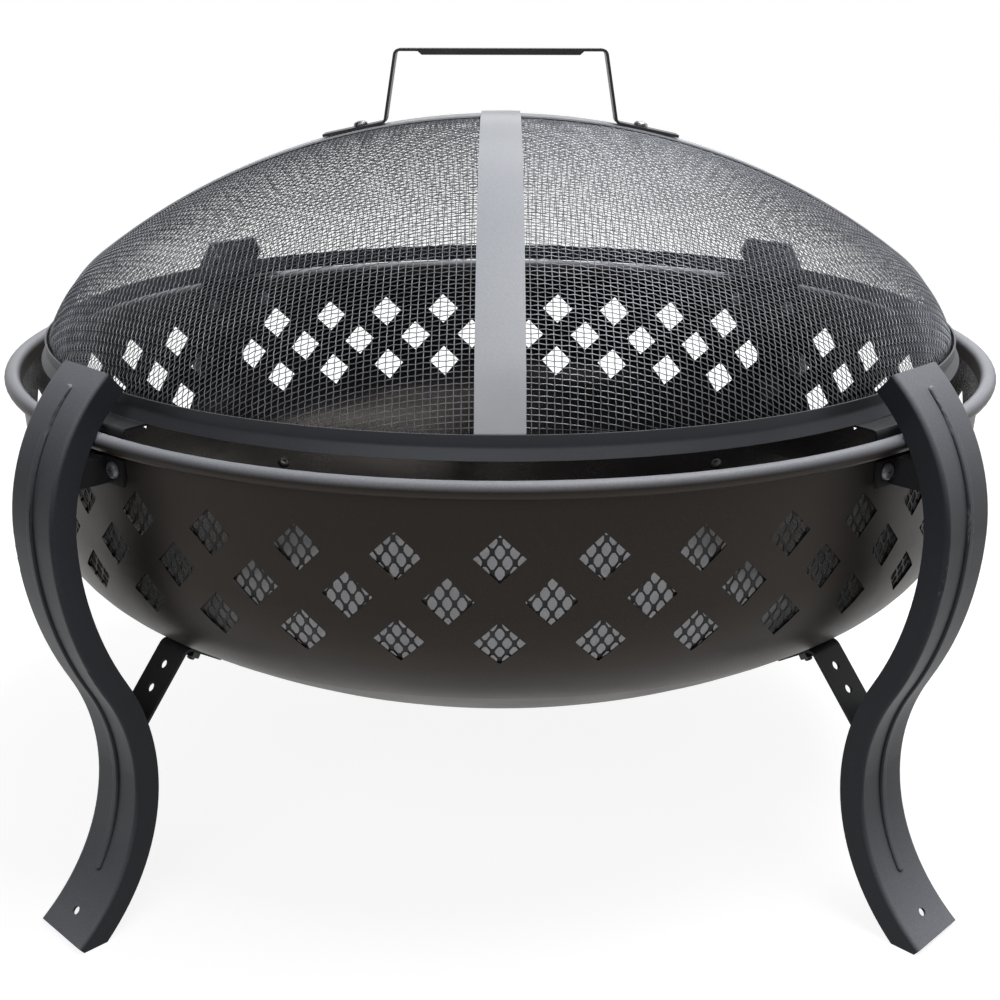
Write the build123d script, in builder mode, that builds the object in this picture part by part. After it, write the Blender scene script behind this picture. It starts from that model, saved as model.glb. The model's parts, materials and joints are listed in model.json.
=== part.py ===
"""Round steel fire pit on four S-shaped legs, with a lift-off woven wire spark screen.

Origin on the ground at the middle of the pit, +Z up, +Y towards the back, millimetres.
The front of the pit, where the strap of the screen comes down, faces -Y.
"""

import os
from math import asin, cos, degrees, radians, sin, sqrt, tan

from build123d import *

# Bowl
rim_radius = 375.0  # centre of the rolled rim
rim_height = 350.0  # centre of the rolled rim above the ground
rim_roll = 5.6  # outer radius of the rolled rim
roll_sweep = 300.0  # how far the sheet is rolled round, in degrees
bowl_sheet = 1.2
wall_draft = 3.0  # lean of the upper wall, in degrees
wall_drop = 84.0  # from the rim down to where the wall turns in
bowl_knuckle = 90.0
bowl_depth = 258.0  # from the rim centre down to the lowest point

# Diamond cut-outs in the wall
columns = 38
diamond_width = 31.4
diamond_height = 30.4
row_drops = (44.0, 71.5, 99.0)  # row centres below the rim; the middle row is staggered

# Expanded metal liner behind the front cut-outs
liner_sheet = 1.0
liner_span = 156.0  # degrees round the front
liner_top_drop = 26.8
liner_bottom_drop = 120.0

# Legs
leg_angle = 45.0  # from the left-right axis
leg_sheet = 1.8
leg_width = 52.0
leg_depth = 17.0  # depth of the channel
fold_radius = 3.0  # outside of the folded edges
lean_at_rim = 32.0  # direction in which the leg passes the rim, in degrees
shoulder_radius = 139.0
shoulder_sweep = 49.0
belly_radius = 240.0
waist_radius = 135.0
waist_height = 114.0
foot_radius = 138.0
foot_sweep = 52.5
rib_width = 6.5
rib_height = 1.8
rib_top_margin = 6.0  # degrees short of the top of the leg
rib_foot_margin = 20.0  # degrees short of the foot
foot_hole = 3.0  # radius
foot_hole_sweep = 45.0  # degrees along the foot

# Stirrups that hold the legs to the wall, and rests that carry the screen
stirrup_sheet = 2.0
stirrup_top_drop = 10.0
stirrup_height = 17.0
rest_sheet = 1.5
rest_bottom_drop = 26.0
rest_ledge = 24.0

# Braces under the bowl
brace_sheet = 2.0
brace_width = 30.0
brace_bolt_radius = 303.0  # where the brace is bolted, from the axis
brace_tab = 34.0
brace_bend = 6.0
brace_foot = 24.0
brace_hole = 3.2
brace_hole_places = (17.0, 35.0)  # from the upper bend

# Screen
band_radius = 350.0  # outside of the band
band_sheet = 1.2
band_height = 15.0
band_lift = 10.0  # bottom of the band above the rim centre
band_flare = 27.0  # lean of the lower edge, in degrees
band_upright = 7.5  # height of the upright part
band_bend = 5.0
mesh_sheet = 1.6  # two crossing wires
mesh_columns = 6  # openings across a quarter of the screen
mesh_bar = 9.0  # between openings
mesh_border = 5.0  # between the openings and the edge, seen from above
screen_lean = 20.0  # lean of the mesh where it leaves the band, in degrees
screen_knuckle = 108.0
screen_rise = 178.0  # top of the mesh above the rim centre
strap_sheet = 1.2
strap_width = 30.0

# Handle
handle_sheet = 2.0
handle_width = 22.0
handle_bend = 4.0
handle_top = 159.0  # width between the upper bends
handle_base = 177.0  # width between the lower bends
handle_span = 272.0  # width over the feet
handle_rise = 46.5  # top of the handle above the crossing of the straps
handle_bolt_place = 107.0  # from the middle
grip_length = 125.0  # stretch with its edges folded down
grip_lip = 2.6
grip_slant = 3.0
lip_sheet = 1.5

# Fasteners
bolt_radius = 3.0
bolt_clearance = 0.3
leg_bolt_drop = 17.0
leg_bolt_gap = 1.5  # between the head of a leg bolt and the arm of its stirrup
leg_bolt_margin = 8.0  # from a leg bolt to the end of its stirrup
pan_head_radius = 5.6
pan_head_height = 3.4
nut_across_flats = 10.0
nut_height = 5.0
washer_radius = 6.5
washer_sheet = 1.0

# Gaps between parts
seat = 0.3  # between parts that touch
lap = 0.2  # between sheets that lie on each other
thread_gap = 0.1  # between a bolt and its nut
bolt_end = 2.0  # bolt that stands out of its nut
lift_clearance = 0.3  # under the band of the screen


class Dish:
    """Section of a dished sheet: a knuckle arc, then a crown arc that ends on the axis.

    The knuckle starts at (radius, level), leaning inwards by lean degrees.
    """

    def __init__(self, radius, level, knuckle, pole, lean):
        self.side = 1 if pole > level else -1
        self.knuckle = knuckle
        self.lean = lean
        self.knuckle_r = radius - knuckle * cos(radians(lean))
        self.knuckle_z = level - self.side * knuckle * sin(radians(lean))
        rise = self.side * (pole - self.knuckle_z)
        self.crown = (self.knuckle_r**2 + rise**2 - knuckle**2) / (2 * (rise - knuckle))
        self.crown_z = pole - self.side * self.crown
        self.seam = degrees(asin(self.knuckle_r / (self.crown - knuckle)))

    def on_knuckle(self, angle, grow=0.0):
        """A point on the knuckle, by its angle above the horizontal."""
        reach = self.knuckle + grow
        return (
            self.knuckle_r + reach * cos(radians(angle)),
            self.knuckle_z + self.side * reach * sin(radians(angle)),
        )

    def on_crown(self, angle, grow=0.0):
        """A point on the crown, by its angle off the axis."""
        reach = self.crown + grow
        return (reach * sin(radians(angle)), self.crown_z + self.side * reach * cos(radians(angle)))

    def foot(self, grow=0.0):
        return self.on_knuckle(self.lean, grow)

    def pole(self, grow=0.0):
        return self.on_crown(0, grow)

    def crown_height(self, radius, grow=0.0):
        reach = self.crown + grow
        return self.crown_z + self.side * sqrt(reach**2 - radius**2)

    def draw(self, grow=0.0):
        """Draws the foot-to-pole arcs in the line that is being built."""
        seam_on_knuckle = 90 - self.seam
        ThreePointArc(
            self.foot(grow),
            self.on_knuckle((self.lean + seam_on_knuckle) / 2, grow),
            self.on_crown(self.seam, grow),
        )
        ThreePointArc(
            self.on_crown(self.seam, grow),
            self.on_crown(self.seam / 2, grow),
            self.pole(grow),
        )


def save(part, name):
    part.label = name
    export_step(part, f"parts/{name}.step")


def radial_plane(angle):
    """Upright plane through the axis: local x runs outwards, local y runs up."""
    outwards = (cos(radians(angle)), sin(radians(angle)), 0)
    across = (sin(radians(angle)), -cos(radians(angle)), 0)
    return Plane(origin=(0, 0, 0), x_dir=outwards, z_dir=across)


def outward_plane(angle, radius, height):
    """Plane that faces straight out from the axis, with local x level."""
    outwards = (cos(radians(angle)), sin(radians(angle)), 0)
    along = (-sin(radians(angle)), cos(radians(angle)), 0)
    origin = (radius * outwards[0], radius * outwards[1], height)
    return Plane(origin=origin, x_dir=along, z_dir=outwards)


os.makedirs("parts", exist_ok=True)

# Places that follow from the driving dimensions
leg_angles = {
    "front_right": -leg_angle,
    "back_right": leg_angle,
    "back_left": 180 - leg_angle,
    "front_left": 180 + leg_angle,
}
draft = radians(wall_draft)
bolt_hole = bolt_radius + bolt_clearance
stirrup_half = leg_width / 2 - leg_sheet - seat
leg_bolt_place = stirrup_half + leg_bolt_gap + pan_head_radius
leg_bolt_turn = degrees(asin(leg_bolt_place / rim_radius))
leg_bolt_angles = [
    angle + turn for angle in leg_angles.values() for turn in (-leg_bolt_turn, leg_bolt_turn)
]


def wall_radius(drop, grow=0.0):
    """Radius of the outside of the wall at a depth below the rim centre."""
    return rim_radius - drop * tan(draft) - (rim_roll - bowl_sheet - grow) / cos(draft)


def around_roll(reach, angle):
    """A point on the section of the rolled rim."""
    return (rim_radius + reach * cos(radians(angle)), rim_height + reach * sin(radians(angle)))


bowl_dish = Dish(
    wall_radius(wall_drop), rim_height - wall_drop, bowl_knuckle, rim_height - bowl_depth, wall_draft
)


def under_bowl(angle):
    """Plane on the underside at a brace bolt: local x runs up the bowl, z points out of it."""
    steep = asin(brace_bolt_radius / bowl_dish.crown)
    upright = radial_plane(angle)
    origin = upright.from_local_coords((brace_bolt_radius, bowl_dish.crown_height(brace_bolt_radius), 0))
    up_bowl = upright.from_local_coords((cos(steep), sin(steep), 0))
    out = upright.from_local_coords((sin(steep), -cos(steep), 0))
    return Plane(origin=origin, x_dir=up_bowl, z_dir=out)


# Bowl with its rolled rim, diamond cut-outs and bolt holes
def diamonds(drops):
    """Prisms that cut one column of diamonds, at the given depths below the rim."""
    with BuildPart() as column:
        with BuildSketch(Plane.YZ.offset(rim_radius)):
            with Locations([(0, rim_height - drop) for drop in drops]):
                Polygon(
                    (diamond_width / 2, 0),
                    (0, diamond_height / 2),
                    (-diamond_width / 2, 0),
                    (0, -diamond_height / 2),
                )
        extrude(amount=-bowl_knuckle / 2)
    return column.part


outer_diamonds = diamonds((row_drops[0], row_drops[2]))
middle_diamonds = diamonds((row_drops[1],))

with BuildPart() as bowl:
    with BuildSketch(Plane.XZ):
        with BuildLine():
            roll_start = 180 - wall_draft
            roll_middle = roll_start - roll_sweep / 2
            roll_end = roll_start - roll_sweep
            roll_inside = rim_roll - bowl_sheet
            bowl_dish.draw()
            Line(bowl_dish.pole(), bowl_dish.pole(-bowl_sheet))
            bowl_dish.draw(-bowl_sheet)
            Line(bowl_dish.foot(-bowl_sheet), around_roll(rim_roll, roll_start))
            ThreePointArc(
                around_roll(rim_roll, roll_start),
                around_roll(rim_roll, roll_middle),
                around_roll(rim_roll, roll_end),
            )
            Line(around_roll(rim_roll, roll_end), around_roll(roll_inside, roll_end))
            ThreePointArc(
                around_roll(roll_inside, roll_end),
                around_roll(roll_inside, roll_middle),
                around_roll(roll_inside, roll_start),
            )
            Line(around_roll(roll_inside, roll_start), bowl_dish.foot())
        make_face()
    revolve(axis=Axis.Z)
    with PolarLocations(0, columns, start_angle=-90):
        add(outer_diamonds, mode=Mode.SUBTRACT)
    with PolarLocations(0, columns, start_angle=-90 + 180 / columns):
        add(middle_diamonds, mode=Mode.SUBTRACT)
    for bolt_angle in leg_bolt_angles:
        with BuildSketch(outward_plane(bolt_angle, rim_radius, rim_height - leg_bolt_drop)):
            Circle(bolt_hole)
        extrude(amount=-3 * rim_roll, mode=Mode.SUBTRACT)
    for brace_angle in leg_angles.values():
        with BuildSketch(under_bowl(brace_angle)):
            Circle(bolt_hole)
        extrude(amount=2 * bowl_sheet, both=True, mode=Mode.SUBTRACT)
save(bowl.part, "bowl")

# Expanded metal liner, a sheet that lies inside the wall behind the front cut-outs
liner_dish_grow = -bowl_sheet - seat
with BuildPart() as cutout_liner:
    with BuildSketch(radial_plane(-90 - liner_span / 2)):
        with BuildLine():
            bowl_dish.draw(liner_dish_grow)
            Line(bowl_dish.pole(liner_dish_grow), bowl_dish.pole(liner_dish_grow - liner_sheet))
            bowl_dish.draw(liner_dish_grow - liner_sheet)
            liner_top = rim_height - liner_top_drop
            Line(
                bowl_dish.foot(liner_dish_grow - liner_sheet),
                (wall_radius(liner_top_drop, liner_dish_grow - liner_sheet), liner_top),
            )
            Line(
                (wall_radius(liner_top_drop, liner_dish_grow - liner_sheet), liner_top),
                (wall_radius(liner_top_drop, liner_dish_grow), liner_top),
            )
            Line(
                (wall_radius(liner_top_drop, liner_dish_grow), liner_top),
                bowl_dish.foot(liner_dish_grow),
            )
        make_face()
        with BuildLine():
            floor_level = rim_height - liner_bottom_drop
            under = rim_height - bowl_depth - seat
            Polyline(
                (0, under),
                (rim_radius, under),
                (rim_radius, floor_level),
                (0, floor_level),
                close=True,
            )
        make_face(mode=Mode.SUBTRACT)
    revolve(axis=Axis.Z, revolution_arc=liner_span)
save(cutout_liner.part, "cutout_liner")


# Legs, pressed as channels that open towards the bowl
seat_angle = radians(lean_at_rim)
shoulder_reach = shoulder_radius - leg_depth - rim_roll - seat
shoulder_centre = (
    rim_radius - shoulder_reach * cos(seat_angle),
    rim_height - shoulder_reach * sin(seat_angle),
)
belly_centre = (shoulder_centre[0] + shoulder_radius - belly_radius, shoulder_centre[1])
s_turn = degrees(asin((shoulder_centre[1] - waist_height) / (belly_radius + waist_radius)))
waist_r = belly_centre[0] + (belly_radius + waist_radius) * cos(radians(s_turn)) - waist_radius
waist_centre = (waist_r + waist_radius, waist_height)
foot_centre = (waist_r + foot_radius, waist_height)


def around(centre, reach, angle):
    """A point on a circle in a radial plane, by its angle above the horizontal."""
    return (centre[0] + reach * cos(radians(angle)), centre[1] + reach * sin(radians(angle)))


def arc(centre, reach, start, end):
    return ThreePointArc(
        around(centre, reach, start),
        around(centre, reach, (start + end) / 2),
        around(centre, reach, end),
    )


def leg_line(inwards, top=shoulder_sweep, foot=foot_sweep):
    """Draws the S-shaped line of a leg at a depth behind its face, from the top to the foot."""
    arc(shoulder_centre, shoulder_radius - inwards, top, 0)
    arc(belly_centre, belly_radius - inwards, 0, -s_turn)
    arc(waist_centre, waist_radius + inwards, 180 - s_turn, 180)
    arc(foot_centre, foot_radius + inwards, 180, 180 + foot)


def leg_band(outer, inner, top=shoulder_sweep, foot=foot_sweep):
    """Draws the closed outline between two depths behind the face of a leg."""
    leg_line(outer, top, foot)
    leg_line(inner, top, foot)
    Line(
        around(shoulder_centre, shoulder_radius - outer, top),
        around(shoulder_centre, shoulder_radius - inner, top),
    )
    Line(
        around(foot_centre, foot_radius + outer, 180 + foot),
        around(foot_centre, foot_radius + inner, 180 + foot),
    )


def bent_bar(angle, outer, inner, half_width, fold, beyond=0.0):
    """Bar between two depths behind the face of a leg, with the long edges of its face rounded.

    It runs beyond the ends of the leg by the given degrees.
    """
    face_radii = (shoulder_radius - outer, belly_radius - outer, waist_radius + outer, foot_radius + outer)
    with BuildPart() as bar:
        with BuildSketch(radial_plane(angle)):
            with BuildLine():
                leg_band(outer, inner, shoulder_sweep + beyond, foot_sweep + beyond)
            make_face()
        extrude(amount=half_width, both=True)
        arcs = bar.edges().filter_by(GeomType.CIRCLE)
        folds = arcs.filter_by(lambda edge: min(abs(edge.radius - radius) for radius in face_radii) < 1e-3)
        fillet(folds, radius=fold)
    return bar.part


def make_rib(angle):
    """Raised ridge along the middle of the face, rounded on top and at its ends."""
    with BuildPart() as rib:
        with BuildSketch(radial_plane(angle)):
            with BuildLine():
                rib_top = shoulder_sweep - rib_top_margin
                leg_band(-rib_height, leg_sheet / 2, rib_top, foot_sweep - rib_foot_margin)
            make_face()
        extrude(amount=rib_width / 2, both=True)
        ends = rib.edges().filter_by(GeomType.LINE)
        corners = ends.filter_by(lambda edge: abs(edge.length - rib_height - leg_sheet / 2) < 1e-3)
        fillet(corners, radius=0.45 * rib_width)
        face_radii = (
            shoulder_radius + rib_height,
            belly_radius + rib_height,
            waist_radius - rib_height,
            foot_radius - rib_height,
        )
        arcs = rib.edges().filter_by(GeomType.CIRCLE)
        top = arcs.filter_by(lambda edge: min(abs(edge.radius - radius) for radius in face_radii) < 1e-3)
        fillet(top, radius=0.9 * rib_height)
    return rib.part


def make_leg(angle):
    hollow = leg_width / 2 - leg_sheet
    outside = bent_bar(angle, 0, leg_depth, leg_width / 2, fold_radius)
    inner_fold = fold_radius - leg_sheet
    inside = bent_bar(angle, leg_sheet, leg_depth + leg_sheet, hollow, inner_fold, beyond=5)
    rib = make_rib(angle)
    upright = radial_plane(angle)
    hole = around(foot_centre, foot_radius, 180 + foot_hole_sweep)
    towards = around((0, 0), 1, 180 + foot_hole_sweep)
    hole_plane = Plane(
        origin=upright.from_local_coords((hole[0], hole[1], 0)),
        z_dir=upright.from_local_coords((towards[0], towards[1], 0)),
    )
    with BuildPart() as leg:
        add(outside)
        add(inside, mode=Mode.SUBTRACT)
        add(rib)
        with BuildSketch(hole_plane):
            Circle(foot_hole)
        extrude(amount=2 * leg_sheet, both=True, mode=Mode.SUBTRACT)
        with BuildSketch(Plane.XY):
            Circle(2 * rim_radius)
        extrude(amount=-rim_height, mode=Mode.SUBTRACT)
    return leg.part


def shoulder_r(height, inwards):
    """Radius of the upper part of a leg at a height, at a depth behind its face."""
    return shoulder_centre[0] + sqrt((shoulder_radius - inwards) ** 2 - (height - shoulder_centre[1]) ** 2)


# Stirrups: the back lies on the wall and the arms are welded inside the leg
stirrup_top = rim_height - stirrup_top_drop
stirrup_inside = wall_radius(stirrup_top_drop) + seat
stirrup_outside = stirrup_inside + stirrup_sheet
stirrup_end = shoulder_r(stirrup_top, leg_sheet) - seat


def level_plane(angle, height):
    """Level plane with local x pointing outwards."""
    outwards = (cos(radians(angle)), sin(radians(angle)), 0)
    return Plane(origin=(0, 0, height), x_dir=outwards, z_dir=(0, 0, 1))


def make_stirrup(angle):
    arm_start = stirrup_inside + stirrup_sheet / 2
    arm_place = stirrup_half - stirrup_sheet / 2
    with BuildPart() as stirrup:
        with BuildSketch(level_plane(angle, stirrup_top)):
            Circle(stirrup_outside)
            Circle(stirrup_inside, mode=Mode.SUBTRACT)
            with Locations((rim_radius, 0)):
                Rectangle(4 * rim_roll, 2 * (leg_bolt_place + leg_bolt_margin), mode=Mode.INTERSECT)
            with Locations((arm_start, arm_place), (arm_start, -arm_place)):
                Rectangle(stirrup_end - arm_start, stirrup_sheet, align=(Align.MIN, Align.CENTER))
        extrude(amount=-stirrup_height)
        for turn in (-leg_bolt_turn, leg_bolt_turn):
            with BuildSketch(outward_plane(angle + turn, stirrup_outside, rim_height - leg_bolt_drop)):
                Circle(bolt_hole)
            extrude(amount=2 * stirrup_sheet, both=True, mode=Mode.SUBTRACT)
    return stirrup.part


# Screen rests: angle brackets inside the wall, with a ledge under the band of the screen
ledge_top = rim_height + band_lift - lift_clearance
rest_grow = -bowl_sheet - seat - rest_sheet / 2
rest_turn = degrees(asin((leg_bolt_place + leg_bolt_margin) / rim_radius))


def make_rest(angle):
    corner_z = ledge_top - rest_sheet / 2
    corner_r = wall_radius(rim_height - corner_z, rest_grow)
    with BuildPart() as rest:
        with BuildSketch(radial_plane(angle - rest_turn)):
            with BuildLine():
                FilletPolyline(
                    (wall_radius(rest_bottom_drop, rest_grow), rim_height - rest_bottom_drop),
                    (corner_r, corner_z),
                    (corner_r - rest_ledge, corner_z),
                    radius=2 * rest_sheet,
                )
            trace(line_width=rest_sheet)
        revolve(axis=Axis.Z, revolution_arc=2 * rest_turn)
        for turn in (-leg_bolt_turn, leg_bolt_turn):
            with BuildSketch(outward_plane(angle + turn, rim_radius, rim_height - leg_bolt_drop)):
                Circle(bolt_hole)
            extrude(amount=-3 * rim_roll, mode=Mode.SUBTRACT)
    return rest.part


# Braces: bent straps from under the bowl to the inside of the legs
brace_face_r = waist_r - leg_sheet - seat - brace_sheet / 2


def make_brace(angle):
    under = under_bowl(angle)
    upright = radial_plane(angle)
    middle = seat + brace_sheet / 2
    tab_end = upright.to_local_coords(under.from_local_coords((-brace_tab / 2, 0, middle)))
    bend = upright.to_local_coords(under.from_local_coords((brace_tab / 2, 0, middle)))
    foot_top = Vector(brace_face_r, waist_height + brace_foot / 2)
    foot_end = Vector(brace_face_r, waist_height - brace_foot / 2)
    slant = Plane(
        origin=upright.from_local_coords(bend),
        x_dir=upright.from_local_coords(foot_top) - upright.from_local_coords(bend),
        z_dir=upright.z_dir.cross(upright.from_local_coords(foot_top) - upright.from_local_coords(bend)),
    )
    with BuildPart() as brace:
        with BuildSketch(upright):
            with BuildLine():
                FilletPolyline(
                    (tab_end.X, tab_end.Y),
                    (bend.X, bend.Y),
                    (foot_top.X, foot_top.Y),
                    (foot_end.X, foot_end.Y),
                    radius=brace_bend,
                )
            trace(line_width=brace_sheet)
        extrude(amount=brace_width / 2, both=True)
        ends = brace.edges().filter_by(lambda edge: abs(edge.length - brace_sheet) < brace_sheet / 100)
        fillet(ends, radius=brace_bend)
        with BuildSketch(slant):
            with Locations([(place, 0) for place in brace_hole_places]):
                Circle(brace_hole)
        extrude(amount=brace_sheet, both=True, mode=Mode.SUBTRACT)
        with BuildSketch(under):
            Circle(bolt_hole)
        extrude(amount=3 * brace_sheet, mode=Mode.SUBTRACT)
    return brace.part


for place, angle in leg_angles.items():
    save(make_leg(angle), f"leg_{place}")
    save(make_stirrup(angle), f"leg_stirrup_{place}")
    save(make_rest(angle), f"screen_rest_{place}")
    save(make_brace(angle), f"bowl_brace_{place}")


# Fasteners, each kind as one group of separate solids
def make_bolts(planes, grip):
    """Pan head bolts: each plane faces out of the head's seat, and grip runs to the far side of the nut."""
    with BuildPart() as bolts:
        for plane in planes:
            with BuildSketch(plane):
                Circle(pan_head_radius)
            extrude(amount=pan_head_height)
            with BuildSketch(plane):
                Circle(bolt_radius)
            extrude(amount=-(grip + bolt_end))
    return bolts.part


def make_nuts(planes):
    """Hexagon nuts that stand on the given planes."""
    with BuildPart() as nuts:
        for plane in planes:
            with BuildSketch(plane):
                RegularPolygon(nut_across_flats / 2, 6, major_radius=False)
                Circle(bolt_radius + thread_gap, mode=Mode.SUBTRACT)
            extrude(amount=nut_height)
    return nuts.part


def make_washers(planes):
    with BuildPart() as washers:
        for plane in planes:
            with BuildSketch(plane):
                Circle(washer_radius)
                Circle(bolt_hole, mode=Mode.SUBTRACT)
            extrude(amount=washer_sheet)
    return washers.part


def turned(plane, depth):
    """The plane that faces the other way, at a depth behind the given one."""
    return Plane(origin=plane.offset(-depth).origin, x_dir=plane.x_dir, z_dir=-plane.z_dir)


head_planes = [
    outward_plane(angle, stirrup_outside + lap, rim_height - leg_bolt_drop) for angle in leg_bolt_angles
]
rest_inside = wall_radius(leg_bolt_drop, -bowl_sheet - seat - rest_sheet) - seat
leg_grip = stirrup_outside + lap - rest_inside
save(make_bolts(head_planes, leg_grip + nut_height), "leg_bolts")
save(make_nuts([turned(plane, leg_grip) for plane in head_planes]), "leg_nuts")

brace_planes = [under_bowl(angle) for angle in leg_angles.values()]
brace_head_planes = [turned(plane, bowl_sheet + lap) for plane in brace_planes]
brace_grip = bowl_sheet + lap + seat + brace_sheet + lap
save(make_bolts(brace_head_planes, brace_grip + nut_height), "brace_bolts")
save(make_nuts([turned(plane, brace_grip) for plane in brace_head_planes]), "brace_nuts")


# Screen: woven wire dome, band and two crossing straps
band_bottom = rim_height + band_lift
band_top = band_bottom + band_height
mesh_radius = band_radius - band_sheet - 2 * lap - strap_sheet
skirt_bottom = band_bottom + mesh_sheet
screen_dish = Dish(mesh_radius, band_top, screen_knuckle, rim_height + screen_rise, screen_lean)
upper_strap_dish = Dish(
    mesh_radius, band_top, screen_knuckle, rim_height + screen_rise + lap + strap_sheet, screen_lean
)


def make_shell(dish, outside, inside):
    """Dome between two surfaces, with a straight skirt inside the band."""
    with BuildPart() as shell:
        with BuildSketch(Plane.XZ):
            with BuildLine():
                dish.draw(outside)
                Line(dish.pole(outside), dish.pole(inside))
                dish.draw(inside)
                Polyline(
                    dish.foot(inside),
                    (dish.foot(inside)[0], skirt_bottom),
                    (dish.foot(outside)[0], skirt_bottom),
                    dish.foot(outside),
                )
            make_face()
        revolve(axis=Axis.Z)
    return shell.part


def on_strap(side):
    """Plane on top of the left-right strap at a handle bolt, with local x running outwards."""
    grow = lap + strap_sheet
    steep = asin(handle_bolt_place / (screen_dish.crown + grow))
    origin = (side * handle_bolt_place, 0, screen_dish.crown_height(handle_bolt_place, grow))
    out = (side * sin(steep), 0, cos(steep))
    along = (side * cos(steep), 0, -sin(steep))
    return Plane(origin=origin, x_dir=along, z_dir=out)


handle_planes = [on_strap(-1), on_strap(1)]
mesh_shell = make_shell(screen_dish, 0, -mesh_sheet)
lower_strap_shell = make_shell(screen_dish, lap + strap_sheet, lap)
upper_strap_shell = make_shell(upper_strap_dish, lap + strap_sheet, lap)

# Square openings in the four quarters between the straps, cut off short of the edge
mesh_pitch = (mesh_radius - strap_width / 2) / mesh_columns
mesh_opening = mesh_pitch - mesh_bar
quarter_middle = strap_width / 2 + mesh_pitch * mesh_columns / 2
with BuildSketch(Plane.XY) as quarters:
    with Locations([(x * quarter_middle, y * quarter_middle) for x in (-1, 1) for y in (-1, 1)]):
        with GridLocations(mesh_pitch, mesh_pitch, mesh_columns, mesh_columns):
            Rectangle(mesh_opening, mesh_opening)
    Circle(mesh_radius - mesh_border, mode=Mode.INTERSECT)
mesh_openings = quarters.faces().filter_by(lambda face: face.area > mesh_opening**2 / 10)

with BuildPart() as screen_mesh:
    add(mesh_shell)
    with BuildSketch(Plane.XY):
        add(mesh_openings)
    extrude(amount=2 * rim_height, mode=Mode.SUBTRACT)
    for plane in handle_planes:
        with BuildSketch(plane):
            Circle(bolt_hole)
        extrude(amount=-4 * mesh_sheet, mode=Mode.SUBTRACT)
save(screen_mesh.part, "screen_mesh")

band_middle = band_radius - band_sheet / 2
flare = radians(band_flare)
flare_top = band_top - band_upright
flare_end = band_bottom + band_sheet / 2 * sin(flare)
with BuildPart() as screen_band:
    with BuildSketch(Plane.XZ):
        with BuildLine():
            FilletPolyline(
                (band_middle, band_top),
                (band_middle, flare_top),
                (band_middle + (flare_top - flare_end) * tan(flare), flare_end),
                radius=band_bend,
            )
        trace(line_width=band_sheet)
    revolve(axis=Axis.Z)
save(screen_band.part, "screen_band")

with BuildPart() as strap_left_right:
    add(lower_strap_shell)
    with BuildSketch(Plane.XY):
        Rectangle(3 * band_radius, strap_width)
    extrude(amount=2 * rim_height, mode=Mode.INTERSECT)
    for plane in handle_planes:
        with BuildSketch(plane):
            Circle(bolt_hole)
        extrude(amount=2 * strap_sheet, both=True, mode=Mode.SUBTRACT)
save(strap_left_right.part, "strap_left_right")

with BuildPart() as strap_front_back:
    add(upper_strap_shell)
    with BuildSketch(Plane.XY):
        Rectangle(strap_width, 3 * band_radius)
    extrude(amount=2 * rim_height, mode=Mode.INTERSECT)
save(strap_front_back.part, "strap_front_back")


# Handle: a bent flat bar with the edges of its grip folded down
handle_height = rim_height + screen_rise + 2 * (lap + strap_sheet) + handle_rise
handle_middle = handle_height - handle_sheet / 2
foot_middle = handle_planes[1].offset(lap + handle_sheet / 2)


def foot_z(x):
    """Height of the middle of the sheet of a foot."""
    slope = foot_middle.x_dir.Z / foot_middle.x_dir.X
    return foot_middle.origin.Z + slope * (x - foot_middle.origin.X)


with BuildPart() as handle:
    with BuildSketch(Plane.XZ):
        with BuildLine():
            FilletPolyline(
                (-handle_span / 2, foot_z(handle_span / 2)),
                (-handle_base / 2, foot_z(handle_base / 2)),
                (-handle_top / 2, handle_middle),
                (handle_top / 2, handle_middle),
                (handle_base / 2, foot_z(handle_base / 2)),
                (handle_span / 2, foot_z(handle_span / 2)),
                radius=handle_bend,
            )
        trace(line_width=handle_sheet)
    extrude(amount=handle_width / 2, both=True)
    with BuildSketch(Plane.XZ.offset(handle_width / 2)):
        with BuildLine():
            Polyline(
                (-grip_length / 2, handle_height - handle_sheet),
                (grip_length / 2, handle_height - handle_sheet),
                (grip_length / 2 - grip_slant, handle_height - handle_sheet - grip_lip),
                (grip_slant - grip_length / 2, handle_height - handle_sheet - grip_lip),
                close=True,
            )
        make_face()
    grip_edge = extrude(amount=-lip_sheet)
    mirror(grip_edge, about=Plane.XZ)
    for plane in handle_planes:
        with BuildSketch(plane):
            Circle(bolt_hole)
        extrude(amount=3 * handle_sheet, mode=Mode.SUBTRACT)
save(handle.part, "handle")

handle_head_planes = [plane.offset(2 * lap + handle_sheet) for plane in handle_planes]
under_mesh = 2 * lap + handle_sheet + strap_sheet + lap + mesh_sheet + lap
handle_grip = under_mesh + washer_sheet + lap
save(make_bolts(handle_head_planes, handle_grip + nut_height), "handle_bolts")
save(make_washers([turned(plane, under_mesh) for plane in handle_head_planes]), "handle_washers")
save(make_nuts([turned(plane, handle_grip) for plane in handle_head_planes]), "handle_nuts")
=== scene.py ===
# %% [markdown]
# # A round fire pit under a woven wire spark screen
#
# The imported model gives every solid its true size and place. This lesson keeps
# most of those solids, gives each a coat of paint, and makes three kinds of piece
# that a solid can't show well: the woven wire, the expanded metal behind the
# diamonds, and the small bolts.

import json
from math import asin, cos, degrees, hypot, pi, radians, sin, sqrt, tan

import bmesh
import bpy
from mathutils import Matrix, Vector


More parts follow.
